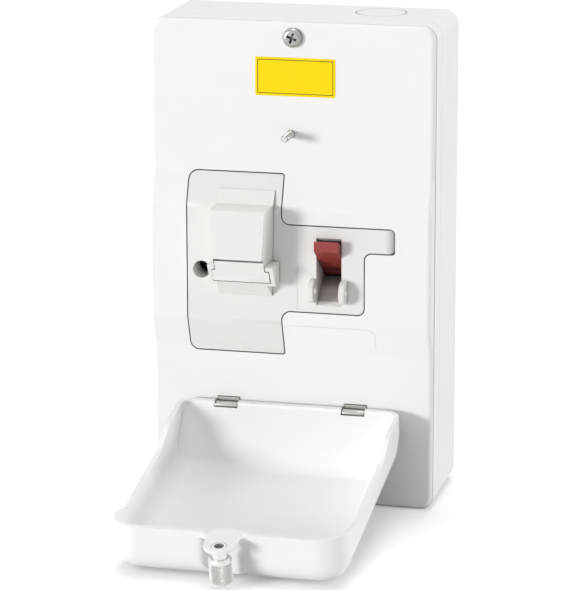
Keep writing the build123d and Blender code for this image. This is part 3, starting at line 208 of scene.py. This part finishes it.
STEEL = (0.60, 0.59, 0.57)
YELLOW, BORDER = (0.955, 0.71, 0.0), (0.06, 0.05, 0.02)
BORDER_INSET, BORDER_WIDE = 1.1 * MM, 0.35 * MM
SHINY_GAPS = (0.25, 0.9)    # how open a bright piece's corner is when its shade starts and ends
# Each shade and reach sets a material's painted shade in gaps and corners; grooves sets painted shade in cut
# grooves.
LOOKS = {
    "box_white": plastic("box_white", (0.875, 0.865, 0.845), 0.36, shade=(0.55, 0.54, 0.52)),
    "cover_white": plastic("cover_white", (0.885, 0.873, 0.858), 0.34),
    # Lighter than cover_white: painted light that brightens the open door's dish; reach and shade paint shade
    # in its tight corners.
    "door_white": plastic("door_white", (0.935, 0.928, 0.915), 0.34, reach=0.6 * MM, shade=(0.5, 0.49, 0.47)),
    "mechanism_grey": plastic("mechanism_grey", (0.79, 0.78, 0.755), 0.42),
    "carrier_grey": plastic("carrier_grey", (0.825, 0.815, 0.79), 0.40, shade=(0.38, 0.37, 0.35)),
    "flap_grey": plastic("flap_grey", (0.845, 0.835, 0.81), 0.40, shade=(0.45, 0.44, 0.42)),
    # Long reach: painted shade darkens the ramp in the switch slot under the dolly.
    "housing_grey": plastic("housing_grey", (0.58, 0.56, 0.53), 0.5, reach=9 * MM),
    "base_black": plastic("base_black", (0.035, 0.016, 0.014), 0.5),
    # Long reach: painted shade darkens the dolly's underside and its sides near the slot.
    "dolly_red": plastic("dolly_red", (0.28, 0.032, 0.028), 0.42, reach=11 * MM, shade=(0.13, 0.12, 0.13)),
    "plate_yellow": bordered("plate_yellow", "label_yellow", YELLOW, BORDER, BORDER_INSET, BORDER_WIDE),
    "plate_white": plastic("plate_white", (0.885, 0.88, 0.87), 0.42),
    "ceramic": plastic("ceramic", (0.80, 0.76, 0.68), 0.3),
    "cap_nickel": metal("cap_nickel", (0.72, 0.70, 0.66), 0.22),
    # Nut: painted shade in its knurl grooves and, through shade, in its tight corners.
    "nut_nickel": metal("nut_nickel", (0.80, 0.79, 0.77), 0.48, reach=0.9 * MM, shade=(0.10, 0.10, 0.09),
                        grooves=(0.46, 0.45, 0.435)),
    "clip_bright": metal("clip_bright", (0.56, 0.55, 0.525), 0.24, shade=(0.12, 0.115, 0.11),
                         openness=SHINY_GAPS),
    "grub_screw_steel": metal("grub_screw_steel", STEEL, 0.35),
    "terminal_brass": metal("terminal_brass", (0.72, 0.52, 0.22), 0.35),
    "contact_copper": metal("contact_copper", (0.76, 0.45, 0.30), 0.3),
    "cover_screw_zinc": metal("cover_screw_zinc", (0.40, 0.39, 0.375), 0.30, shade=(0.08, 0.08, 0.07),
                              openness=SHINY_GAPS),
    # Stud: painted shade in its thread groove.
    "stud_steel": metal("stud_steel", (0.62, 0.61, 0.59), 0.30, reach=0.7 * MM, grooves=(0.05, 0.048, 0.045)),
    "fixings_steel": metal("fixings_steel", STEEL, 0.35),
}

slots = {row["node"]: row["material_slot"] for row in record["subparts"]}
for name, obj in nodes.items():
    mat = LOOKS[slots[name]]
    for place in obj.material_slots:
        place.material = mat
    if not obj.material_slots:
        obj.data.materials.append(mat)


# Softer edges
WELD_WITHIN = 0.002 * MM
BEVEL_STEPS = 3
SOFT_FROM = math.radians(35)


def soften(obj, width):
    """Round the edges that a moulding or a pressing has rounded."""
    weld = obj.modifiers.new("weld", "WELD")
    weld.merge_threshold = WELD_WITHIN
    bevel = obj.modifiers.new("edge", "BEVEL")
    bevel.width = width
    bevel.segments = BEVEL_STEPS
    bevel.limit_method = "ANGLE"
    bevel.angle_limit = SOFT_FROM
    bevel.harden_normals = True
    bevel.use_clamp_overlap = True


SOFT_MM = {
    "mechanism_front": 0.28,
    "fuse_carrier": 0.4,
    "carrier_flap": 0.2,
    "switch_dolly": 0.45,
    "hinge_clip_left": 0.12,
    "hinge_clip_right": 0.12,
}
for name, width in SOFT_MM.items():
    soften(nodes[name], width * MM)


# Turned pieces with a fine thread or knurl; their sizes are millimetres
GROOVE_FULL_SHADE_AT = 0.3        # depth at which a groove has its full painted shade
SHARP_FROM = math.radians(40)
AXIS_HOLE = 0.05            # radius of the pinhole left along the axis, too fine to see
SAME = 0.001


def turned(name, start, axis, rings, around, radius, body, slot, node):
    """A turned piece in place of a node: rings of (place, radius), with radius() cutting thread or knurl."""
    axis = Vector(axis).normalized()
    across = axis.orthogonal().normalized()
    beside = axis.cross(across)
    points, faces, cuts = [], [], []
    for place, plain in rings:
        for step in range(around):
            turn = 2 * math.pi * step / around
            r = radius(place, plain, turn)
            # How deep the cut is at each point, which sets the painted groove shade.
            cuts.append(min(1, max(0, (plain - r) / GROOVE_FULL_SHADE_AT)))
            outward = across * math.cos(turn) + beside * math.sin(turn)
            points.append(start + (axis * place + outward * r) * MM)
    last = len(rings)
    for row in range(last):
        low, high = row * around, (row + 1) % last * around
        for step in range(around):
            after = (step + 1) % around
            faces.append((low + step, low + after, high + after, high + step))
    mesh = bpy.data.meshes.new(name)
    mesh.from_pydata(points, [], faces)
    mesh.materials.append(LOOKS[slot])
    mesh.attributes.new("groove", "FLOAT", "POINT").data.foreach_set("value", cuts)
    mesh.polygons.foreach_set("use_smooth", [True] * len(faces))
    mesh.set_sharp_from_angle(angle=SHARP_FROM)
    obj = bpy.data.objects.new(name, mesh)
    bpy.context.scene.collection.objects.link(obj)
    obj.update_tag()
    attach(obj, body)
    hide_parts(node)


def ring_row(start, stop, pitch, radius):
    """Rings of one radius, about a pitch apart."""
    count = max(1, round(abs(stop - start) / pitch))
    return [(start + (stop - start) * i / count, radius) for i in range(count + 1)]


def wave(value):
    """Triangle wave: 0 at whole numbers, 1 halfway."""
    return 1 - abs(2 * (value % 1.0) - 1)


# Thumb nut, along its own spin axis; places are from the door's rim plane
spin = next(j for j in record["behaviour"]["joints"] if j["name"] == "thumb_nut_spin")
NUT_AXIS = Vector(spin["axis"])
JOINT_PLACE = 10            # of the spin joint, from the rim plane
NUT_ORIGIN = Vector(spin["pos_m"]) - NUT_AXIS * JOINT_PLACE * MM
FLARE_START, FLARE_STOP, FLARE_R, FLARE_EDGE = 1.25, 1.8, 3.45, 0.15
SPIGOT_STOP, SPIGOT_R = 3.05, 3.0
SHOULDER, NECK_R, NECK_EDGE = 7.2, 3.65, 0.1
NUT_BEVEL, NUT_R, NUT_END = 1.1, 5.6, 21.3
KNURL_START, KNURL_STOP, KNURL_DEEP = 9.0, 19.9, 0.42
KNURL_AROUND, KNURL_PITCH, KNURL_FADE = 30, 1.2, 0.4
KNURL_POINTS = 6            # points round the nut for each tooth
KNURL_RING = 0.14           # distance between the rings that carry it
LEAD_R, BORE_R, BORE_START, BORE_STOP = 2.45, 1.95, 10.9, 15.9

nut_rings = [(FLARE_START, LEAD_R), (FLARE_START, FLARE_R - FLARE_EDGE)]
nut_rings += [(FLARE_START + FLARE_EDGE, FLARE_R), (FLARE_STOP, FLARE_R)]
nut_rings += [(FLARE_STOP, SPIGOT_R), (SPIGOT_STOP, SPIGOT_R)]
nut_rings += [(SPIGOT_STOP, NECK_R - NECK_EDGE), (SPIGOT_STOP + NECK_EDGE, NECK_R), (SHOULDER, NECK_R)]
nut_rings += [(SHOULDER, NUT_R - NUT_BEVEL), (SHOULDER + NUT_BEVEL, NUT_R), (KNURL_START - 0.4, NUT_R)]
nut_rings += ring_row(KNURL_START - 0.25, KNURL_STOP - 0.15, KNURL_RING, NUT_R)
nut_rings += [(KNURL_STOP, NUT_R - 0.05), (NUT_END - 0.7, NUT_R - 0.4), (NUT_END - 0.2, NUT_R - 1.0)]
nut_rings += [(NUT_END, NUT_R - 1.6), (NUT_END, AXIS_HOLE)]
nut_rings += [(BORE_STOP, AXIS_HOLE), (BORE_STOP, BORE_R), (BORE_START, BORE_R), (BORE_START, LEAD_R)]


def knurl(place, plain, turn):
    """Two crossing sets of slanted grooves, fading out at both ends."""
    if plain < NUT_R - SAME:
        return plain
    along = (place - KNURL_START) / KNURL_PITCH
    around = turn * KNURL_AROUND / (2 * math.pi)
    crest = min(wave(around + along), wave(around - along))
    ends = min(1, (place - KNURL_START) / KNURL_FADE, (KNURL_STOP - place) / KNURL_FADE)
    return plain - KNURL_DEEP * max(0, ends) * (1 - crest)


turned("thumb_nut_knurled", NUT_ORIGIN, NUT_AXIS, nut_rings, KNURL_AROUND * KNURL_POINTS, knurl,
       "nut", "nut_nickel", "thumb_nut")

# Stud; places are forward from the back plane
STUD_R, STUD_ROUND = 1.85, 28
THREAD_PITCH, THREAD_DEEP, THREAD_RING = 0.7, 0.32, 0.1
FLANGE_BACK, FLANGE_FRONT = 54.5, 55.5
stud_low, stud_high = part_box("door_stud")
stud_start = Vector(((stud_low[0] + stud_high[0]) / 2, 0, (stud_low[2] + stud_high[2]) / 2))
stud_back, stud_tip = -stud_high[1] / MM, -stud_low[1] / MM
flange = (stud_high[0] - stud_low[0]) / 2 / MM
stud_rings = [(stud_back, AXIS_HOLE), (stud_back, STUD_R - 0.35)]
stud_rings += ring_row(stud_back + 0.3, FLANGE_BACK, THREAD_RING, STUD_R)
stud_rings += [(FLANGE_BACK, flange), (FLANGE_FRONT, flange)]
stud_rings += ring_row(FLANGE_FRONT, stud_tip - 0.5, THREAD_RING, STUD_R)
stud_rings += [(stud_tip, STUD_R - 0.5), (stud_tip, AXIS_HOLE)]


def thread(place, plain, turn):
    """A single groove that winds round the stud."""
    if abs(plain - STUD_R) > SAME:
        return plain
    return plain - THREAD_DEEP * (1 - wave(place / THREAD_PITCH - turn / (2 * math.pi)))


turned("door_stud_threaded", stud_start, (0, -1, 0), stud_rings, STUD_ROUND, thread,
       "enclosure", "stud_steel", "door_stud")


# Floor and background
WORLD_LIGHT = 0.40
FLOOR_SEEN, FLOOR_BOUNCE = 0.97, 0.78
FLOOR_GLOW = 0.22           # added to the floor where it is seen, directly or in a reflection
FLOOR_SIZE, FLOOR_ROUGH = 12, 0.8


def seen_directly(tree):
    """1 for what the camera sees, also in metal or through glass, and 0 for light on the object."""
    path = tree.nodes.new("ShaderNodeLightPath")
    total = path.outputs["Is Camera Ray"]
    for name in ("Is Glossy Ray", "Is Transmission Ray"):
        step = tree.nodes.new("ShaderNodeMath")
        step.operation = "MAXIMUM"
        tree.links.new(total, step.inputs[0])
        tree.links.new(path.outputs[name], step.inputs[1])
        total = step.outputs["Value"]
    return total


bpy.ops.mesh.primitive_plane_add(size=FLOOR_SIZE, location=(0, 0, cad_box[0][2]))
floor = bpy.context.object
floor.name = "floor"
mat, tree, bsdf = new_material("floor_pale")
bounce, seen = [FLOOR_BOUNCE] * 3, [FLOOR_SEEN] * 3
tree.links.new(colour_mix(tree, seen_directly(tree), bounce, seen), bsdf.inputs["Base Color"])
bsdf.inputs["Roughness"].default_value = FLOOR_ROUGH
bsdf.inputs["Specular IOR Level"].default_value = 0.0
bsdf.inputs["Emission Color"].default_value = (1, 1, 1, 1)
tree.links.new(remap(tree, seen_directly(tree), 0, 1, 0, FLOOR_GLOW), bsdf.inputs["Emission Strength"])
floor.data.materials.append(mat)

world = bpy.data.worlds.new("studio")
bpy.context.scene.world = world
world.use_nodes = True
tree = world.node_tree
back = tree.nodes["Background"]
strength = remap(tree, seen_directly(tree), 0, 1, WORLD_LIGHT, 1.0)
back.inputs["Color"].default_value = (1, 1, 1, 1)
tree.links.new(strength, back.inputs["Strength"])


# Light; each lamp's level is what it adds on a white surface that faces it

def sun(name, towards, level, soft):
    """A lamp far off in the direction towards (across, back, up), soft degrees wide."""
    data = bpy.data.lights.new(name, "SUN")
    data.energy = level * math.pi
    data.angle = math.radians(soft)
    lamp = bpy.data.objects.new(name, data)
    bpy.context.scene.collection.objects.link(lamp)
    lamp.rotation_euler = Vector(towards).to_track_quat("Z", "Y").to_euler()


sun("key_left", (-0.68, -0.78, 0.10), 0.66, 16)
sun("rim_right", (0.98, 0.16, 0.10), 0.31, 10)
sun("top", (0.0, 0.06, 1.0), 0.29, 30)
sun("top_back", (0.0, 0.80, 0.80), 0.13, 20)

# Camera
TARGET = Vector((-2.8, -58, -15.3)) * MM
DISTANCE, LENS = 1.5455, 187.35
YAW, PITCH, ROLL = (math.radians(a) for a in (13.99, 14.12, -0.15))
camera = bpy.data.cameras.new("camera")
camera.lens = LENS
camera.clip_start = 0.05
view = bpy.data.objects.new("camera", camera)
bpy.context.scene.collection.objects.link(view)
aim = Vector((math.sin(YAW) * math.cos(PITCH), -math.cos(YAW) * math.cos(PITCH), math.sin(PITCH)))
view.location = TARGET + aim * DISTANCE
turn = (-aim).to_track_quat("-Z", "Y").to_matrix().to_4x4() @ Matrix.Rotation(ROLL, 4, "Z")
view.rotation_euler = turn.to_euler()
bpy.context.scene.camera = view
bpy.context.scene.view_settings.view_transform = "Standard"
